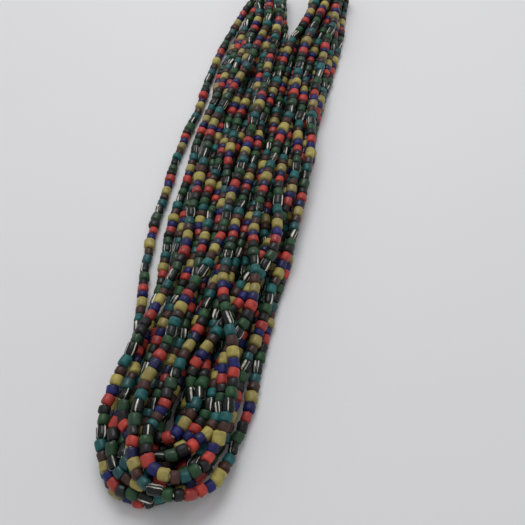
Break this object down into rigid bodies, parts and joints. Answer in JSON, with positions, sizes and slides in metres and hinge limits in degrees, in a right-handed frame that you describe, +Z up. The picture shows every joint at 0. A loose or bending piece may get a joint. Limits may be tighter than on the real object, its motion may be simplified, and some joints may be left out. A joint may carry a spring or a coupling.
{
  "type": "beaded necklace",
  "caption": "Many-strand necklace of small matte glass beads, folded in two and lying flat, its strands bound together at both ends and closed by a barrel clasp.",
  "frame": {"origin": "middle of the surface that the folded necklace covers, at the height of that surface", "axes": "+Y along the folded necklace, from the bend to the clasp; +X across its two legs, from the left leg to the right one; +Z up from the surface it lies on"},
  "size_m": [0.0696, 0.3312, 0.0204],
  "materials": {
    "beads": "matte",
    "thread": "matte",
    "clasp": "satin"
  },
  "bodies": {
    "root": {"string_01": "beads", "string_02": "beads", "string_03": "beads", "string_04": "beads", "string_05": "beads", "string_06": "beads", "string_07": "beads", "string_08": "beads", "string_09": "beads", "string_10": "beads", "string_11": "beads", "string_12": "beads", "string_13": "beads", "string_14": "beads", "left_thread_gather": "thread", "right_thread_gather": "thread", "barrel_clasp": "clasp"}
  },
  "joints": []
}
